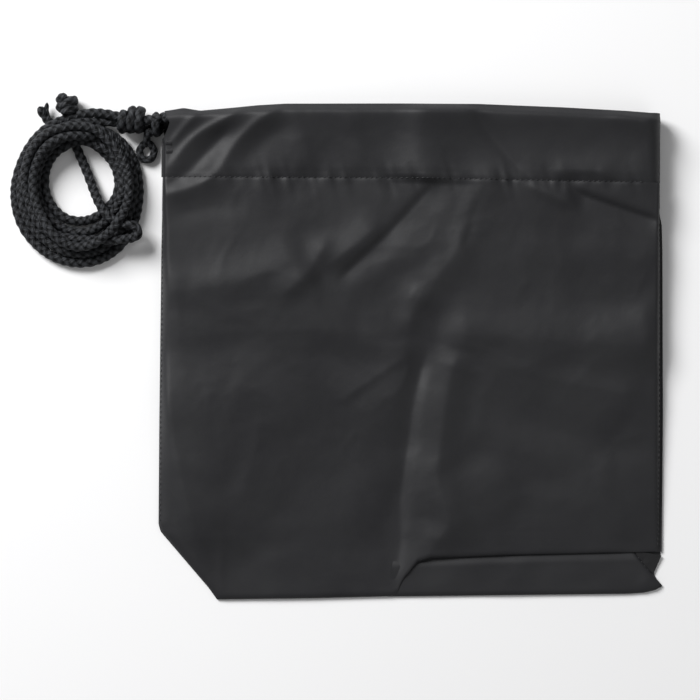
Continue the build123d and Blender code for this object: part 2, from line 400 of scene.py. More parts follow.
# outlines, in the order of x or of y, as the first number of each pair
topEdge = [(-150, 143.2), (-143, 144.2), (-136, 145.4), (-131, 144.6), (-126, 143.8), (-108, 145.4),
           (-92, 147.0),
           (-75, 148.0), (-6, 148.1), (40, 147.8), (90, 145.8), (128, 143.7), (152, 141.8)]
seamLine = [(-152, 104.3), (-7, 103.8), (80, 102.2), (152, 100.9)]
leftEdge = [(-149.7, -116.6), (-142.6, -121.6), (-108.4, -150.8), (-104, -152.0), (-40, -151.5), (60, -150.3),
            (104, -149.4), (150, -148.8)]
rightEdge = [(-124, 151.2), (-40, 152.0), (60, 151.7), (76, 151.3), (84, 149.7), (104, 149.4), (150, 149.2)]
baseEdge = [(-117, -149.5), (-60, -148.8), (-12, -147.6), (-8, -146.2), (-2, -135.5), (4, -127.2),
            (12, -124.8),
            (60, -122.8), (152, -120.6)]
cordLine = [(-150, 138.6), (-110, 140.6), (-75, 142.5), (-6, 142.6), (40, 142.3), (90, 140.1), (128, 138.1),
            (152, 136.1)]
# mean height of the front cloth up the pouch, and the width over which it rounds down at the sides
slopeUp = [(-150, 2.8), (-120, 3.2), (-60, 5.8), (0, 8.8), (50, 11.8), (90, 14.2), (104, 15.0), (150, 15.4)]
sideWidth = [(-150, 5), (-60, 7), (40, 6), (80, 4.5), (104, 3.0), (150, 3.0)]
# how strongly the seam puckers along it
puckerShare = [(-150, 0.1), (-98, 0.3), (-92, 0.9), (-80, 0.9), (-66, 0.45), (-30, 0.8), (-10, 1.0),
               (14, 0.9),
               (30, 0.4), (58, 0.9), (82, 0.9), (100, 0.6), (131, 0.5), (150, 0.15)]


def between(table, at):
    table = np.array(table, float)
    return np.interp(at, table[:, 0], table[:, 1])


def besideLine(x, y, points):
    # Distance from a line, positive on its left, and the share of the line's length at the nearest place. Its
    # corners are cut off three times first, a quarter of the way along each stretch.
    line = np.array(points, float)
    for _ in range(3):
        nearStart = line[:-1] * 0.75 + line[1:] * 0.25
        nearEnd = line[:-1] * 0.25 + line[1:] * 0.75
        line = np.r_[line[:1], np.stack([nearStart, nearEnd], 1).reshape(-1, 2), line[-1:]]
    start, step = line[:-1], np.diff(line, axis=0)
    size = np.linalg.norm(step, axis=1)
    before = np.r_[0, np.cumsum(size)]
    dx, dy = x[..., None] - start[:, 0], y[..., None] - start[:, 1]
    t = np.clip((dx * step[:, 0] + dy * step[:, 1]) / size ** 2, 0, 1)
    ex, ey = dx - t * step[:, 0], dy - t * step[:, 1]
    away = np.hypot(ex, ey)
    best = away.argmin(-1)[..., None]
    side = np.sign(step[:, 0] * dy - step[:, 1] * dx)
    reached = before[:-1] + t * size
    away, side, reached = [np.take_along_axis(value, best, -1)[..., 0] for value in (away, side, reached)]
    return away * np.where(side == 0, 1, side), reached / before[-1]


# Each fold: its line, its height (below nothing for a valley), its width on the line's left and right, how
# sharp it is, from 0 for a round one to 1 for a crease, and the share of its length that it fades over at
# its ends.
folds = [
    ([(-146, 106), (-141.6, 113.9), (-134, 124), (-124, 132), (-110, 139),
      (-98, 146)], 1.5, 2.4, 5.0, 0.5, 0.22),
    ([(-152, 92), (-145.6, 93.9), (-129.6, 97.9), (-116, 105), (-110, 117), (-101.6, 128), (-89.6, 139),
      (-76, 145)],
     1.55, 3.6, 7.0, 0.5, 0.12),
    ([(-146, 120), (-138, 131), (-130, 139), (-124, 146)], 0.9, 2.2, 3.0, 0.5, 0.3),
    ([(-150, 98), (-134, 106), (-122, 120), (-104, 137)], -1.4, 4.5, 4.0, 0.3, 0.25),
    ([(-104, 108), (-96, 121), (-80, 132), (-56, 142)], -0.9, 7.0, 7.0, 0.2, 0.4),
    ([(-152, 80), (-136, 84), (-112, 88), (-92, 86)], -0.8, 8.0, 7.0, 0.2, 0.35),
    ([(-154, 35), (-120, 38), (-92, 44), (-75, 52), (-60, 61)], 2.6, 14.0, 40.0, 0.2, 0.15),
    ([(-84, 30), (-68, 40), (-59, 50), (-53, 61), (-49, 74)], 1.9, 9.0, 6.0, 0.3, 0.3),
    ([(16, 102), (8, 95), (-15, 69.5), (-30, 56), (-40, 46.5), (-46, 41)], -1.3, 10.0, 2.6, 0.7, 0.14),
    ([(-54, 46), (-42, 57), (-28, 68), (-14, 80)], 2.0, 11.0, 6.5, 0.25, 0.3),
    ([(-46, 34), (-30, 40), (-12, 54), (6, 76)], 0.5, 8.0, 12.0, 0.2, 0.3),
    ([(54, 108), (39, 91), (34.4, 74), (26.4, 58), (12.4, 40), (4, 20)], 1.9, 11.0, 13.0, 0.35, 0.16),
    ([(50, 104), (42, 94), (37, 84), (34.6, 70), (28, 58)], -0.5, 3.6, 2.4, 0.5, 0.25),
    ([(-2, 6), (-1, 16), (3, 28), (10, 42)], 1.6, 9.0, 7.0, 0.3, 0.35),
    ([(92, 98), (103, 93), (126.4, 85), (140, 80.5), (154, 76)], -2.2, 2.6, 8.0, 0.6, 0.2),
    ([(62, 103), (76, 97), (90, 91), (104, 86)], 1.4, 4.0, 4.5, 0.3, 0.3),
    ([(94, 66), (120, 60), (153, 52)], 1.0, 11.0, 13.0, 0.0, 0.3),
    ([(14, 11), (40, 10), (86, 7), (120, 5), (158, 3)], 3.5, 17.0, 17.0, 0.1, 0.14),
    ([(-152, 6), (-113, 12), (-60, 14), (-4, 9)], 0.9, 14.0, 11.0, 0.3, 0.15),
    ([(30, 2), (25, -10), (21, -30), (18, -55), (15, -80), (26, -104), (11, -119), (-1, -148)],
     2.8, 12.0, 14.0, 0.35, 0.08),
    ([(24, -60), (26, -84), (34, -106), (30, -124)], 1.0, 34.0, 12.0, 0.0, 0.4),
    ([(10, 4), (2, -26), (-2, -60), (-7, -92), (-9, -120), (-10, -148)], -1.8, 4.0, 8.0, 0.35, 0.1),
    ([(-2, -62), (-10, -104), (-12, -154)], -1.2, 9.0, 22.0, 0.0, 0.3),
    ([(4, 0), (-6.6, -5), (-28, -20), (-50, -34)], 0.75, 3.2, 14.0, 0.5, 0.3),
    ([(-149, 8), (-145.6, -26), (-139.6, -66), (-131, -104), (-112, -138)], 4.3, 40.0, 8.0, 0.1, 0.32),
    ([(-112, -148), (-115, -136), (-113, -122), (-116, -108)], 0.7, 2.5, 2.5, 0.6, 0.3),
    ([(10, 154), (7, 136), (5, 122), (4, 100)], 2.6, 26.0, 12.0, 0.1, 0.1),
    ([(34, 150), (46, 131), (58, 116), (72, 102)], -1.3, 5.0, 5.0, 0.4, 0.25),
    ([(80, 105), (94, 108), (110, 108), (128, 104)], 1.3, 9.0, 3.5, 0.2, 0.3),
    ([(-74, 146), (-66, 130), (-62, 116), (-66, 104)], 0.9, 7.0, 9.0, 0.2, 0.3),
    ([(-40, 147), (-34, 130), (-30, 116), (-32, 104)], 0.8, 6.0, 8.0, 0.2, 0.3),
    ([(112, 146), (128, 140), (150, 133)], 1.0, 5.0, 6.0, 0.4, 0.3),
    ([(28, -2), (66, -12), (108, -22), (153, -28)], 1.3, 8.0, 15.0, 0.2, 0.2),
    ([(40, -30), (80, -46), (120, -58), (153, -62)], -1.1, 12.0, 10.0, 0.1, 0.3),
    ([(20, -80), (66, -84), (110, -90), (158, -92)], 1.6, 26.0, 20.0, 0.0, 0.5),
    ([(-74, -34), (-62, -60), (-60, -92)], -1.0, 16.0, 16.0, 0.0, 0.35),
    ([(88, 36), (112, 26), (142, 28)], -0.8, 9.0, 9.0, 0.0, 0.35),
    ([(60, 70), (84, 58), (104, 44)], 0.9, 9.0, 10.0, 0.1, 0.35),
]


def foldHeight(x, y):
    # Each fold's cross-section is a bell, mixed with a pointed bell for a sharp one. It fades in and out
    # along its line.
    total = np.zeros_like(x)
    for line, height, left, right, sharp, fade in folds:
        away, share = besideLine(x, y, line)
        reach = np.abs(away) / np.where(away > 0, left, right)
        bell = (1 - sharp) * np.exp(-reach ** 2) + sharp * np.exp(-1.25 * reach)
        ends = np.clip(np.minimum(share, 1 - share) / fade, 0, 1)
        total += pouch["foldStrength"] * height * bell * smoothStep(ends)
    return total


wrinkle = {
    "bend": 14,                                    # how far the noise that bends the pattern moves it
    "swells": [(1.5, 52), (0.75, 26), (0.28, 14)],    # height and size of each broad swell
    "crease": (0.3, 27),                           # height and size of the ridges
    "small": (0.12, 11),                           # and of the small ridges
    "crinkle": (0.05, 5.5),                        # and of the fine crinkles
    "patch": 55,                                   # size of the patches that have ridges
}


def wrinkles(x, y):
    # broad swells, then ridges where bent noise passes through nothing, in patches, then fine crinkles
    bendX = x + wrinkle["bend"] * softNoise(x, y, 37, 3)
    bendY = y + wrinkle["bend"] * softNoise(x, y, 41, 4)
    swell = sum(height * softNoise(bendX, bendY, size, seed)
                for (height, size), seed in zip(wrinkle["swells"], (5, 6, 13)))
    swell = swell * np.clip((146 - y) / 40, 0.3, 1)
    crease = wrinkle["crease"][0] * (1 - np.abs(softNoise(bendX, bendY * 1.2, wrinkle["crease"][1], 7))) ** 3
    small = wrinkle["small"][0] * (1 - np.abs(softNoise(bendX * 1.1, bendY, wrinkle["small"][1], 8))) ** 3
    fine = wrinkle["crinkle"][0] * softNoise(x, y, wrinkle["crinkle"][1], 9)
    patch = np.clip(0.5 + 0.9 * softNoise(x, y, wrinkle["patch"], 10), 0, 1)
    return swell + (crease + small) * patch + fine


def puckers(x, y):
    # the cloth gathers along the seam: ripples along it that die away on both sides of the line
    away = y - between(seamLine, x)
    wave = softNoise(x + 0.25 * away, 0 * y, 3.2, 11) + 0.6 * softNoise(x - 0.3 * away, 0 * y + 9, 6.0, 12)
    ripple = pouch["pucker"] * wave * np.exp(-np.abs(away) / pouch["puckerReach"])
    return between(puckerShare, x) * ripple - pouch["seamDepth"] * np.exp(-(away / 0.8) ** 2)


def casingRise(x, y):
    # The hem lies a little higher than the panel and rises over the cord, steeply above it and gently below.
    away = y - between(seamLine, x)
    fromCord = y - between(cordLine, x)
    below = fromCord < 0
    width = pouch["ridgeWidth"] * np.where(below, 2.5, 1.0)
    ridge = pouch["ridge"] * np.exp(-np.abs(fromCord / width) ** np.where(below, 1.5, 2.2))
    return pouch["hem"] * np.clip(away / 6, 0, 1) + ridge * np.clip(away / 9, 0, 1)


def clothHeight(x, y):
    # The mean slope, the folds and the wrinkles. A soft lower limit keeps it over the back cloth, and an arc
    # over the cord gives the cord its room.
    calm = np.clip((y + 152) / 40, 0.35, 1)
    height = between(slopeUp, y) + (foldHeight(x, y) + wrinkles(x, y)) * calm
    height = height + puckers(x, y) + casingRise(x, y)
    height = pouch["lowest"] + pouch["easing"] * np.logaddexp(0, (height - pouch["lowest"]) / pouch["easing"])
    overCord = np.abs(y - between(cordLine, x)) / pouch["cordRoom"]
    arc = pouch["cordHeight"] + pouch["cordRoom"] * np.sqrt(np.clip(1 - overCord ** 2, 0, 1))
    return np.where(overCord > 1, height, np.maximum(height, arc))


def sideRound(x, y, height):
    # Towards a side the cloth rounds down, as a quarter ellipse, to the seam's margin, which lies low.
    share = 1.0
    for edge, margin, sign, narrow in ((leftEdge, 0.5, 1, 1.0), (rightEdge, 1.8, -1, 0.6)):
        away = sign * (x - between(edge, y))
        if edge is leftEdge:
            away = away * np.where(y < -104, 0.78, 1.0)    # the cut corner runs at a slant
        strip = margin * np.clip((86 - y) / 12, 0, 1)
        share = share * quarterRound((away - strip) / (narrow * between(sideWidth, y)))
    return pouch["floorGap"] + (height - pouch["floorGap"]) * share


def edgeSteps(length, close, spacing):
    # places along a length, closer together near both ends
    ends = np.array([0, 0.12, 0.35, 0.7, 1.1, 1.6, 2.2, 2.9, 3.5, 4.2, 5.0, 6.0, 7.2]) * close
    middle = np.linspace(ends[-1], length - ends[-1], int((length - 2 * ends[-1]) / spacing) + 1)
    return np.r_[ends[:-1], middle, length - ends[:-1][::-1]] / length


def grid(u, v):
    return np.meshgrid(u, v, indexing="xy")


def clothPiece(name, points, shape, flip=False):
    # a grid of points made into cloth of the pouch's thickness, with its upper face where the points are
    faces = gridFaces(*shape)
    if flip:
        faces = faces[:, ::-1]
    piece = makePiece(name, points.reshape(-1, 3), faces)
    mesh = piece.data
    edgeOf = np.empty(len(mesh.loops), dtype=np.int32)
    mesh.loops.foreach_get("edge_index", edgeOf)
    rim = np.bincount(edgeOf, minlength=len(mesh.edges)) == 1
    mesh.attributes.new("sharp_edge", "BOOLEAN", "EDGE").data.foreach_set("value", rim)
    wall = piece.modifiers.new("cloth", "SOLIDIFY")
    wall.thickness = pouch["cloth"] * mm
    wall.offset = -1
    return piece


# The front panel's grid is fitted between its four edges by a few rounds of sliding it to them.
panel = {
    "width": 302, "depth": 246,
    "fitRounds": 14,
    "turnWidth": 3.4,    # width over which it turns down at the base
    "turnLow": 1.2,      # height that it turns down to, left of the base's strip
    "stripLow": 2.0,     # and over it
}


def fitBetween(u, v, x, bottom, right, inset):
    # x and y of a grid that is slid to its four edges in a few rounds
    for _ in range(panel["fitRounds"]):
        y = between(seamLine, x) * (1 - v) + between(bottom, x) * v
        x = (between(leftEdge, y) + inset) * (1 - u) + between(right, y) * u
    return x, y


fromTop = np.r_[np.linspace(0, 4, 5), np.linspace(5.4, 240, 148),
                241.4, 242.6, 243.6, 244.4, 245.0, 245.4, 245.7, 245.9, 246]
u, v = grid(edgeSteps(panel["width"], 1.0, pouch["grid"]), fromTop / panel["depth"])
x, y = fitBetween(u, v, -150.5 + panel["width"] * u, baseEdge, rightEdge, 0)
z = sideRound(x, y, clothHeight(x, y))
low = np.where(x > 2, panel["stripLow"], panel["turnLow"])
z = np.minimum(z, low + (z - low) * quarterRound((1 - v) * panel["depth"] / panel["turnWidth"]))
frontPanel = clothPiece("frontPanelCloth", np.stack([x, y, z], -1), x.shape, flip=True)

base = {
    "edgeHeight": 0.9,
    "startHeight": 1.35,    # height beside the crease
    "middleHeight": 2.7,
    "hidden": 4.0,          # how far it runs on under the front panel
    "swell": 0.25,
    "ridge": 0.35,          # height of the slanting ridge across it
    "bump": 0.5,            # height of the bump over its right corner
    "roundWidth": 3.0,
}
baseBottom = [(-16, -147.8), (11, -147.5), (131, -146.1), (141, -145.4), (147.5, -143.8), (151.8, -141.3)]
u, v = grid(edgeSteps(160, 0.8, 1.7), edgeSteps(26, 0.5, 1.0))
topX = -10 + 144.6 * u
topY = between(baseEdge, np.maximum(topX, 12)) + base["hidden"] * np.clip((134.6 - topX) / 20, 0, 1)
bottomX = -14 + 165.8 * u
x = topX * (1 - v) + bottomX * v
y = topY * (1 - v) + between(baseBottom, bottomX) * v
fromCrease = np.clip((between(baseEdge, np.maximum(x, 12)) - y + 0.5) / 5.5, 0, 1)
z = base["startHeight"] + (base["middleHeight"] - base["startHeight"]) * smoothStep(fromCrease)
z = z + base["swell"] * softNoise(x, y * 2, 18, 21) * fromCrease
z = z + base["ridge"] * np.exp(-((x - 0.55 * (y + 140) - 60) / 9) ** 2) * fromCrease
z = z + base["bump"] * np.exp(-((x - 141) ** 2 + (y + 139) ** 2) / 14) * fromCrease
for edge in ((1 - v) * 24, (1 - u) * 150):
    z = base["edgeHeight"] + (z - base["edgeHeight"]) * quarterRound(edge / base["roundWidth"])
basePanel = clothPiece("basePanelCloth", np.stack([x, y, z], -1), x.shape, flip=True)

# the back panel lies on the floor, drawn in at the right corner's notch
backBottom = [(-117, -149.2), (11, -147.3), (131, -145.9), (137, -145.4), (152, -142.0)]
backRight = [(-142, 151.0), (-133.5, 146.2), (-123, 150.6), (-40, 151.4), (76, 150.8), (84, 149.4),
             (104, 149.0)]
u, v = grid(np.linspace(0, 1, 110), np.linspace(0, 1, 90))
x, y = fitBetween(u, v, -150.0 + 300 * u, backBottom, backRight, 0.3)
z = pouch["cloth"] + 0.02 + 0.05 * np.abs(softNoise(x, y, 20, 31))
backPanel = clothPiece("backPanelCloth", np.stack([x, y, z], -1), x.shape, flip=True)
print("front, base and back cloth made")

# The casing is one grid: front layers, the turn at the right end, back layers. Each layer pair runs from the
# seam up the outer side, over the fold at the mouth, and down inside.
casing = {
    "depth": 45,
    "innerFront": 12.6,    # height of the front casing's inner layer
    "innerGap": 0.75,      # least distance between the front casing's layers
    "innerBack": 7.2,      # height of the back casing's inner layer over its cord
    "seamBack": 1.25,      # and at its seam
    "foldFront": 15.7,     # height of the fold at the mouth
    "foldBack": 3.8,
    "roundOuter": 5.6,     # depth over which the outer layer rounds to the fold
    "roundInner": 4.6,
    "backWidth": 5.2,      # half the width of the back casing over its cord
    "openFrom": 123.0,     # the left end is open above this place, where the cord comes out
    "lip": 5.0,            # how far the opening's edge draws back
    "lipMiddle": 135.6,
    "lipHalf": 9.5,
    "backLeft": -148.6,
    "turnSteps": 15,
}
span = np.r_[0, 0.1, 0.3, 0.65, 1.1, 1.7, 2.4, 3.2, 4.1, 5.1, 6.2, 7.4, np.linspace(8.8, 45, 25)]
span = span / casing["depth"]
share = np.r_[span[::-1], span[1:]][None, :]
outer = np.r_[np.ones(len(span)), np.zeros(len(span) - 1)][None, :]


def mouthPlace(x, share):
    # how far up the pouch a share of the casing's depth below the mouth is, at each x
    top = between(topEdge, x)
    return top - (top - between(seamLine, x)) * share


def towardsFold(fold, height, share, width):
    # a layer's height, rounded to the height of the fold at the mouth
    return fold + (height - fold) * quarterRound(share * casing["depth"] / width)


def frontLayers(x, share, outer):
    y = mouthPlace(x, share)
    top = clothHeight(x, y)
    inner = np.minimum(casing["innerFront"], top - casing["innerGap"])
    outside = towardsFold(casing["foldFront"], top, share, casing["roundOuter"])
    inside = towardsFold(casing["foldFront"], inner, share, casing["roundInner"])
    return y, np.where(outer > 0, outside, inside)


def backLayers(x, share, outer):
    y = mouthPlace(x, share)
    overCord = np.exp(-np.abs((y - between(cordLine, x)) / casing["backWidth"]) ** 2.2)
    cover = casing["seamBack"] + (casing["innerBack"] - casing["seamBack"]) * overCord
    outside = towardsFold(casing["foldBack"], 0.02, share, casing["roundOuter"])
    inside = towardsFold(casing["foldBack"], cover, share, casing["roundInner"])
    return y, np.where(outer > 0, outside, inside)


nearRight = np.full_like(share, 140.0)
_, backZ = backLayers(nearRight, share, outer)
_, outerFrontZ = frontLayers(nearRight, share, np.ones_like(outer))
_, outerBackZ = backLayers(nearRight, share, np.ones_like(outer))
turnX = between(rightEdge, mouthPlace(149, share)) - (outerFrontZ - outerBackZ) / 2
leftY = mouthPlace(-149, share)
opening = np.clip((leftY - casing["openFrom"]) / 4, 0, 1)
lip = casing["lip"] * np.clip(1 - np.abs(leftY - casing["lipMiddle"]) / casing["lipHalf"], 0, 1) ** 0.7
leftX = between(leftEdge, leftY) + lip * opening
x = leftX + (turnX - leftX) * edgeSteps(290, 0.8, pouch["grid"])[:, None]
y, z = frontLayers(x, share, outer)
closing = 1 - (1 - opening) * (1 - quarterRound((x - leftX) / 3))
z = np.where(outer > 0, pouch["floorGap"] + (z - pouch["floorGap"]) * closing, z)
frontRows = np.stack([x, y, z], -1)

turn = np.linspace(0, math.pi, casing["turnSteps"] + 2)[1:-1, None]
radius = (z[-1] - backZ) / 2
turnRows = np.stack([
    turnX + radius * np.sin(turn),
    y[-1] + 0 * turn,
    (z[-1] + backZ) / 2 + radius * np.cos(turn),
], -1)

x = casing["backLeft"] + (turnX - casing["backLeft"]) * np.linspace(1, 0, 120)[:, None]
y, z = backLayers(x, share, outer)
keep = np.clip((x - turnX + 12) / 12, 0, 1)
backRows = np.stack([x, y * (1 - keep) + y[0] * keep, z], -1)
casingPoints = np.concatenate([frontRows, turnRows, backRows])
casingCloth = clothPiece("casingCloth", casingPoints, casingPoints.shape[:2], flip=True)
print("casing made")

leftEnd = {
    "place": -147.6,
    "bulge": 0.8,
    "bottom": 102.5, "top": 143.6,
    "low": 0.9, "high": 11.6,
    "recess": 2.6,    # how far it stands back at the cord's exit
}
u, v = grid(np.linspace(0, 1, 26), np.linspace(0, 1, 24))
y = leftEnd["bottom"] + (leftEnd["top"] - leftEnd["bottom"]) * v
x = leftEnd["place"] + leftEnd["recess"] * np.clip((y - 124) / 8, 0, 1)
x = x - leftEnd["bulge"] * np.sin(math.pi * u) + 0.25 * softNoise(y, u * 20, 7, 41)
z = leftEnd["low"] + (leftEnd["high"] - leftEnd["low"]) * u
leftEndCloth = clothPiece("leftEndCloth", np.stack([x, y, z], -1), x.shape, flip=False)


def foldedCorner(name, corners, heights, ripple, seed):
    # a four-sided scrap of cloth, straight between its corners, with a ripple
    u, v = grid(np.linspace(0, 1, 24), np.linspace(0, 1, 24))
    a, b, c, d = np.c_[np.array(corners, float), heights]
    points = (a * (1 - u[..., None]) + b * u[..., None]) * (1 - v[..., None])
    points = points + (d * (1 - u[..., None]) + c * u[..., None]) * v[..., None]
    points[..., 2] += ripple * softNoise(points[..., 0] * 1.3, points[..., 1], 4, seed)
    return clothPiece(name, points, u.shape, flip=False)


rightTuck = foldedCorner("rightCornerTuckCloth",
                         [(140.5, -129.5), (146.4, -133.9), (151.0, -123.0), (134.0, -119.5)],
                         [1.25, 1.15, 1.7, 1.4], 0.12, 51)
leftTuck = foldedCorner("leftCornerTuckCloth", [(-114, -146), (-112, -107), (-146, -105), (-118, -141)],
                        [1.1, 1.2, 1.15, 1.1], 0.05, 52)
print("corners made")


stitch = {
    "length": 2.3,
    "spacing": 3.1,
    "thick": 0.55,
    "lift": 0.12,      # how far a stitch's middle stands above the cloth
    "dip": 0.32,       # how far its ends go down
    "rings": 7,
    "around": 6,
}


def stitchRow(name, middle, forward, up, length=stitch["length"], thick=stitch["thick"]):
    # Each stitch is a short round bar with pointed ends that curves down into the cloth at both ends.
    rings, around = stitch["rings"], stitch["around"]
    forward, up = unit(forward), unit(up)
    across = unit(np.cross(forward, up))
    t = np.linspace(-1, 1, rings)[:, None]
    a = np.linspace(0, 2 * math.pi, around, endpoint=False)[None, :]
    size = thick / 2 * np.sqrt(np.clip(1 - (0.985 * t) ** 4, 0, 1))
    upwards = size * np.sin(a) - stitch["dip"] * t ** 2 + stitch["lift"]
    places = (length / 2 * t + 0 * a, size * np.cos(a), upwards)
    points = middle[:, None, None, :]
    for place, way in zip(places, (forward, across, up)):
        points = points + place[None, ..., None] * way[:, None, None, :]
    last = (rings - 1) * around
    caps = np.array([[0, 1, 2, 3], [0, 3, 4, 5], [3, 2, 1, 0], [5, 4, 3, 0]])    # for six points around
    caps = caps + np.array([[0], [0], [last], [last]])
    one = np.r_[gridFaces(rings, around, wrap=True), caps]
    faces = (np.arange(len(middle)) * rings * around)[:, None, None] + one[None]
    return makePiece(name, points.reshape(-1, 3), faces.reshape(-1, 4)[:, ::-1])


def surfaceFrame(x, y):
    # places on the front cloth and the way that its surface faces
    def height(px, py):
        return sideRound(px, py, clothHeight(px, py))
    step = 0.8
    slopeX = (height(x + step, y) - height(x - step, y)) / (2 * step)
    slopeY = (height(x, y + step) - height(x, y - step)) / (2 * step)
    return np.stack([x, y, height(x, y)], -1), unit(np.stack([-slopeX, -slopeY, np.ones_like(x)], -1))


def sewAlong(name, middle, up):
    return stitchRow(name, middle, np.gradient(middle, axis=0), up)


def stepsOf(start, end):
    return np.arange(start + stitch["spacing"] / 2, end, stitch["spacing"])


upright = np.array([[0, 0, 1.0]])
x = stepsOf(-146.5, 139)
frontStitches = sewAlong("frontCasingStitches", *surfaceFrame(x, between(seamLine, x) + 0.15))
middle = np.stack([x, between(seamLine, x) + 0.6, 0 * x + casing["seamBack"] + 0.35], -1)
backStitches = sewAlong("backCasingStitches", middle, upright)
y = stepsOf(-118, 78)
rightStitches = sewAlong("rightSideStitches", *surfaceFrame(between(rightEdge, y) - 2.5, y))
y = stepsOf(-103, 78)
leftStitches = sewAlong("leftSideStitches", *surfaceFrame(between(leftEdge, y) + 1.2, y))
t = (np.arange(7) + 0.5) / 7.4
middle = np.stack([136.6 + 13.6 * t, -123.6 - 17.6 * t, 2.0 - 0.5 * t], -1)
cornerStitches = sewAlong("cornerStitches", middle, upright)
# two bartacks, each of seven long stitches side by side
beside = 0.55 * np.arange(7)
middle, up = surfaceFrame(np.r_[-146.4 + beside, -146.0 + beside], np.repeat([124.6, 119.4], 7))
bartacks = stitchRow("exitBartacks", middle, np.tile([[0.12, 1.0, 0]], (14, 1)), up, 3.6, 0.5)
print("stitches made")

casingRoute = [
    (-148.8, 139.0, 16.0), (-130, 139.6, 15.8), (-110, 140.6, 15.8), (-75, 142.3, 15.8), (-40, 142.6, 15.8),
    (0, 142.6, 15.8), (40, 142.3, 15.8), (90, 140.1, 15.8), (128, 138.1, 15.8), (138, 137.2, 15.8),
    (145.2, 136.8, 15.2), (147.0, 136.6, 9.9), (145.2, 136.6, 4.6), (138, 137.2, 3.8), (128, 138.0, 3.8),
    (90, 140.0, 3.8), (40, 142.0, 3.8), (0, 142.2, 3.8), (-60, 141.0, 3.8), (-110, 137.0, 3.8),
    (-148.8, 132.4, 3.8),
]
casingLine = readRoute(casingRoute, 1.4)
casingCord, _ = braidTube("cordInCasing", casingLine, up=(0, 1, 0), step=1.4)

# each wrap: its middle, the way it runs, the way across that, its radius across and upwards, the distance
# between turns, the turns, the angle it starts at, the tilt of its braid and how far it leans along its run
gatherWrap = {"middle": (-166.6, 139.0, 8.5), "along": (1, 0, 0), "across": (0, 1, 0), "radius": (5.3, 5.4),
              "pitch": 4.9, "turns": 2.75, "start": 0.5, "tilt": 0.34, "lean": 1.802,
              "hand": 1, "points": 160}
neckTurn = {"middle": (-152.6, 136.0, 9.6), "along": (1, 0, 0), "across": (0, 1, 0), "radius": (5.1, 5.9),
            "pitch": 4.4, "turns": 1.7, "start": 2.6, "tilt": 0.2, "lean": 1.0, "hand": 1, "points": 90}
endWrap = {"middle": (-206.3, 148.3, 7.5), "along": (0, 1, 0), "across": (1, 0, 0), "radius": (4.0, 4.0),
           "pitch": 4.4, "turns": 2.15, "start": 2.4, "tilt": 0.22, "lean": 0.88, "hand": -1, "points": 110}


def wrapTube(name, wrap, diameter):
    # a cord wound in a leaning helix, as it is round the legs in a knot
    t = np.linspace(0, 1, wrap["points"])[:, None]
    a = wrap["hand"] * 2 * math.pi * wrap["turns"] * t + wrap["start"]
    along, across = np.array(wrap["along"], float), np.array(wrap["across"], float)
    path = np.array(wrap["middle"]) + along * wrap["pitch"] * wrap["turns"] * (t - 0.5)
    path = path + (wrap["radius"][0] * across + wrap["lean"] * along) * np.cos(a)
    path = path + np.array([0, 0, 1]) * wrap["radius"][1] * np.sin(a)
    return braidTube(name, path, up=along - wrap["tilt"] * across, diameter=diameter)[0]


gatherKnot = wrapTube("gatherKnot", gatherWrap, 6.5)
neckWrap = wrapTube("neckWrap", neckTurn, 5.2)

loop = {"middle": (-158.9, 120.2), "half": (4.5, 5.2), "low": 2.8, "rise": 3.0, "start": 70, "sweep": 395}
t = np.linspace(0, 1, 70)[::6]
a = np.radians(loop["start"] + loop["sweep"] * t)
ring = np.stack([
    loop["middle"][0] + loop["half"][0] * np.cos(a),
    loop["middle"][1] + loop["half"][1] * np.sin(a),
    loop["low"] + loop["rise"] * np.clip(t - 0.8, 0, 1) / 0.2,
], -1)
link = [(-158.8, 128.0, 7.0), (-157.8, 131.0, 8.0), (-156.6, 133.8, 9.0)]
smallLoop, _ = braidTube("smallLoop", readRoute(np.r_[ring, link], 0.75), diameter=4.7)
endKnot = wrapTube("endKnot", endWrap, 6.2)

tipOne = readRoute([(-219.6, 140.0, 3.4), (-221.2, 143.0, 4.4), (-222.6, 145.4, 5.6),
                    (-223.2, 147.0, 6.4)], 0.5)
tipTwo = readRoute([(-219.2, 140.4, 3.4), (-219.4, 143.8, 4.0), (-219.2, 146.6, 4.8),
                    (-218.6, 149.6, 5.4)], 0.5)
tailTip, _ = braidTube("tailTipRound", tipOne, diameter=5.6)
tailTipPoint, _ = braidTube("tailTipPointed", tipTwo, diameter=4.2, taper=0.5)
print("cord pieces made")


def newMaterial(name):
    material = bpy.data.materials.new(name)
    material.use_nodes = True
    nodes = material.node_tree.nodes
    return material, nodes, material.node_tree.links, nodes["Principled BSDF"]


def addNode(nodes, kind, **settings):
    node = nodes.new(kind)
    for label, value in settings.items():
        if hasattr(node, label):
            setattr(node, label, value)
        else:
            node.inputs[label.replace("_", " ")].default_value = value
    return node


def rampBetween(nodes, links, source, stops):
    ramp = nodes.new("ShaderNodeValToRGB")
    elements = ramp.color_ramp.elements
    while len(elements) < len(stops):
        elements.new(0.5)
    for element, (place, colour) in zip(elements, stops):
        element.position = place
        element.color = (*colour, 1)
    links.new(source, ramp.inputs["Fac"])
    return ramp.outputs["Color"]


clothLookValues = {
    "dark": (0.0095, 0.0095, 0.0115),
    "light": (0.0165, 0.0168, 0.0185),
    "roughness": 0.56,
    "specular": 0.36,
    "weaveSize": 0.36,       # mm from one thread to the next
    "weaveDepth": 0.00004,
    "crinkleDepth": 0.00022,
}


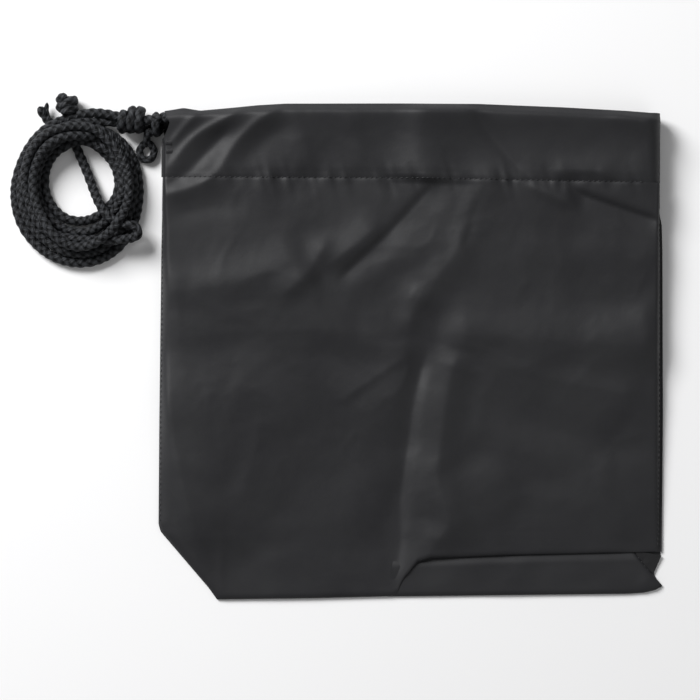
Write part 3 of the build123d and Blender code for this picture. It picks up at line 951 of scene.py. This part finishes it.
def makeClothMaterial(name, paintedShadeFactor):
    look = clothLookValues
    material, nodes, links, surface = newMaterial(name)
    place = nodes.new("ShaderNodeTexCoord")
    shade = addNode(nodes, "ShaderNodeTexNoise", Scale=14.0, Detail=5.0, Roughness=0.6)
    links.new(place.outputs["Object"], shade.inputs["Vector"])
    # random mottling of the cloth's own colour; the second argument scales it all, and below 1 it paints
    # shade in
    colour = rampBetween(nodes, links, shade.outputs["Fac"], [
        (0.3, tuple(paintedShadeFactor * c for c in look["dark"])), (0.7, tuple(paintedShadeFactor * c for c in look["light"]))])
    weave = []
    for direction in ("X", "Y"):
        # a wave repeats every 0.314 / scale metres
        wave = addNode(nodes, "ShaderNodeTexWave", wave_type="BANDS", bands_direction=direction,
                       Scale=0.314 / (look["weaveSize"] * mm), Distortion=0.35, Detail=1.0)
        wave.inputs["Detail Scale"].default_value = 2.0
        links.new(place.outputs["Object"], wave.inputs["Vector"])
        weave.append(wave)
    threads = addNode(nodes, "ShaderNodeMath", operation="MAXIMUM")
    links.new(weave[0].outputs["Fac"], threads.inputs[0])
    links.new(weave[1].outputs["Fac"], threads.inputs[1])
    # painted shade: the colour is multiplied darker between the weave's threads, where shade falls in the
    # weave
    weaveShadeMix = addNode(nodes, "ShaderNodeMix", data_type="RGBA", blend_type="MULTIPLY")
    weaveShadeMix.inputs["Factor"].default_value = 0.25
    links.new(colour, weaveShadeMix.inputs["A"])
    shadow = rampBetween(nodes, links, threads.outputs[0], [(0.2, (0.6, 0.6, 0.62)), (0.9, (1, 1, 1))])
    links.new(shadow, weaveShadeMix.inputs["B"])
    links.new(weaveShadeMix.outputs["Result"], surface.inputs["Base Color"])
    crinkle = addNode(nodes, "ShaderNodeTexNoise", Scale=170.0, Detail=4.0, Roughness=0.55, Distortion=0.6)
    links.new(place.outputs["Object"], crinkle.inputs["Vector"])
    soft = addNode(nodes, "ShaderNodeBump", Strength=0.4, Distance=look["crinkleDepth"])
    links.new(crinkle.outputs["Fac"], soft.inputs["Height"])
    fine = addNode(nodes, "ShaderNodeBump", Strength=0.5, Distance=look["weaveDepth"])
    links.new(threads.outputs[0], fine.inputs["Height"])
    links.new(soft.outputs["Normal"], fine.inputs["Normal"])
    links.new(fine.outputs["Normal"], surface.inputs["Normal"])
    gloss = addNode(nodes, "ShaderNodeMapRange", From_Min=0.3, From_Max=0.7,
                    To_Min=look["roughness"] - 0.02, To_Max=look["roughness"] + 0.03)
    links.new(crinkle.outputs["Fac"], gloss.inputs["Value"])
    links.new(gloss.outputs["Result"], surface.inputs["Roughness"])
    surface.inputs["Specular IOR Level"].default_value = look["specular"]
    return material


# the cord's colours: painted shade in the grooves between yarns, the yarns' own near black, and a painted
# highlight on their tops
cordLookValues = {
    "paintedGrooveShade": (0.0004, 0.0004, 0.0005),
    "yarn": (0.0019, 0.0020, 0.0024),
    "paintedTipHighlight": (0.036, 0.038, 0.042),
    "roughness": 0.6,
    "specular": 0.15,
    "fibres": 9.0,        # fibre bands across a yarn
}


def makeCordMaterial(name):
    look = cordLookValues
    material, nodes, links, surface = newMaterial(name)
    height = addNode(nodes, "ShaderNodeAttribute", attribute_name="yarnHeight")
    across = addNode(nodes, "ShaderNodeAttribute", attribute_name="yarnAcross")
    place = nodes.new("ShaderNodeTexCoord")
    speckle = addNode(nodes, "ShaderNodeTexNoise", Scale=1500.0, Detail=2.0, Roughness=0.7)
    links.new(place.outputs["Object"], speckle.inputs["Vector"])
    mixed = addNode(nodes, "ShaderNodeMath", operation="MULTIPLY_ADD")
    mixed.inputs[1].default_value = 0.75
    links.new(speckle.outputs["Fac"], mixed.inputs[0])
    lowered = addNode(nodes, "ShaderNodeMath", operation="SUBTRACT")
    lowered.inputs[1].default_value = 0.38
    links.new(height.outputs["Fac"], lowered.inputs[0])
    links.new(lowered.outputs[0], mixed.inputs[2])
    # painted shade and highlight: the colour follows the yarns' height, near black in the grooves and light
    # on the tops, with random speckle mixed in
    colour = rampBetween(nodes, links, mixed.outputs[0], [
        (0.12, look["paintedGrooveShade"]), (0.55, look["yarn"]), (1.0, look["paintedTipHighlight"])])
    links.new(colour, surface.inputs["Base Color"])
    bands = addNode(nodes, "ShaderNodeMath", operation="MULTIPLY")
    bands.inputs[1].default_value = look["fibres"]
    links.new(across.outputs["Fac"], bands.inputs[0])
    lines = addNode(nodes, "ShaderNodeMath", operation="SINE")
    links.new(bands.outputs[0], lines.inputs[0])
    rough = addNode(nodes, "ShaderNodeMath", operation="ADD")
    links.new(lines.outputs[0], rough.inputs[0])
    links.new(speckle.outputs["Fac"], rough.inputs[1])
    bump = addNode(nodes, "ShaderNodeBump", Strength=0.7, Distance=0.00018)
    links.new(rough.outputs[0], bump.inputs["Height"])
    links.new(bump.outputs["Normal"], surface.inputs["Normal"])
    surface.inputs["Roughness"].default_value = look["roughness"]
    surface.inputs["Specular IOR Level"].default_value = look["specular"]
    return material


threadLookValues = {
    "dark": (0.006, 0.006, 0.007),
    "light": (0.024, 0.024, 0.027),
    "roughness": 0.5,
    "specular": 0.35,
}


def makeThreadMaterial(name):
    look = threadLookValues
    material, nodes, links, surface = newMaterial(name)
    place = nodes.new("ShaderNodeTexCoord")
    ply = addNode(nodes, "ShaderNodeTexWave", wave_type="BANDS", bands_direction="DIAGONAL", Scale=1100.0,
                  Distortion=0.5)
    links.new(place.outputs["Object"], ply.inputs["Vector"])
    # painted shade and highlight: darker in the grooves between the thread's plies, where the bump is low,
    # and lighter on their tops
    colour = rampBetween(nodes, links, ply.outputs["Fac"], [(0.1, look["dark"]), (0.9, look["light"])])
    links.new(colour, surface.inputs["Base Color"])
    bump = addNode(nodes, "ShaderNodeBump", Strength=0.5, Distance=0.00005)
    links.new(ply.outputs["Fac"], bump.inputs["Height"])
    links.new(bump.outputs["Normal"], surface.inputs["Normal"])
    surface.inputs["Roughness"].default_value = look["roughness"]
    surface.inputs["Specular IOR Level"].default_value = look["specular"]
    return material


clothMaterial = makeClothMaterial("blackNylon", 1.0)
# painted shade: a copy of the cloth material at 0.6 of its brightness, for the casing's left end and the
# folded corners
paintedShadeTuckMaterial = makeClothMaterial("blackNylonShaded", 0.6)
cordMaterial = makeCordMaterial("blackBraid")
threadMaterial = makeThreadMaterial("darkThread")


# each group's body, slot and material, then its pieces with the nodes that they replace
pieces = [
    ("pouch", "pouch_cloth", clothMaterial, [
        (frontPanel, ["front_panel"]),
        (basePanel, ["base_panel"]),
        (backPanel, ["back_panel"]),
        (casingCloth, ["front_casing", "back_casing", "right_casing_return"]),
    ]),
    ("pouch", "pouch_cloth", paintedShadeTuckMaterial, [
        (leftEndCloth, ["left_casing_end"]),
        (leftTuck, ["left_corner_tuck"]),
        (rightTuck, ["right_corner_tuck"]),
    ]),
    ("pouch", "sewing_thread", threadMaterial, [
        (frontStitches, ["front_casing_stitching"]),
        (backStitches, ["back_casing_stitching"]),
        (rightStitches, ["right_side_stitching"]),
        (leftStitches, ["left_side_stitching"]),
        (cornerStitches, ["corner_stitching"]),
        (bartacks, ["exit_bartacks"]),
    ]),
    ("drawcord", "braided_cord", cordMaterial, [
        (casingCord, ["drawcord_in_casing"]),
        (frontLeg, ["drawcord_front_neck", "drawcord_coil"]),
        (backLeg, ["drawcord_back_neck", "drawcord_coil"]),
        (gatherKnot, ["gather_knot"]),
        (neckWrap, ["drawcord_front_neck", "drawcord_back_neck"]),
        (smallLoop, ["small_loop"]),
        (endKnot, ["end_knot"]),
        (tailTip, ["tail_tip"]),
        (tailTipPoint, ["tail_tip"]),
    ]),
]
for body, slotName, material, rows in pieces:
    for piece, nodesReplaced in rows:
        piece.data.materials.append(material)
        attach(piece, body)
        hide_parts(*nodesReplaced)


# lengths here are metres
studio = {
    "floor": (0.86, 0.86, 0.865),
    "sky": 0.26,
    "keyPower": 74.0,
    "keyPlace": (-1.3, 1.3, 1.35),
    "keySize": 1.0,
    "fillPower": 3.0,
    "fillPlace": (1.1, -0.9, 1.3),
    "fillSize": 1.2,
    "floorWidth": 3.0,     # metres from the middle to an edge
    "floorDrop": 0.0001,
}
floorMesh = bpy.data.meshes.new("floor")
floorCorners = [(a * studio["floorWidth"], b * studio["floorWidth"], -studio["floorDrop"])
                for a, b in ((-1, -1), (1, -1), (1, 1), (-1, 1))]
floorMesh.from_pydata(floorCorners, [], [(0, 1, 2, 3)])
floor = bpy.data.objects.new("floor", floorMesh)
bpy.context.collection.objects.link(floor)
floorMaterial, _, _, floorSurface = newMaterial("paleFloor")
floorSurface.inputs["Base Color"].default_value = (*studio["floor"], 1)
floorSurface.inputs["Roughness"].default_value = 0.9
floor.data.materials.append(floorMaterial)
world = bpy.data.worlds.new("studio")
world.use_nodes = True
world.node_tree.nodes["Background"].inputs["Color"].default_value = (1, 1, 1, 1)
world.node_tree.nodes["Background"].inputs["Strength"].default_value = studio["sky"]
bpy.context.scene.world = world
for name, power, place, size in (("key", studio["keyPower"], studio["keyPlace"], studio["keySize"]),
                                 ("fill", studio["fillPower"], studio["fillPlace"], studio["fillSize"])):
    lightData = bpy.data.lights.new(name, "AREA")
    lightData.energy = power
    lightData.size = size
    lightObject = bpy.data.objects.new(name, lightData)
    lightObject.location = place
    lightObject.rotation_euler = (-Vector(place)).to_track_quat("-Z", "Y").to_euler()
    bpy.context.collection.objects.link(lightObject)
bpy.context.scene.view_settings.view_transform = "Standard"
print("materials, floor and lights made")
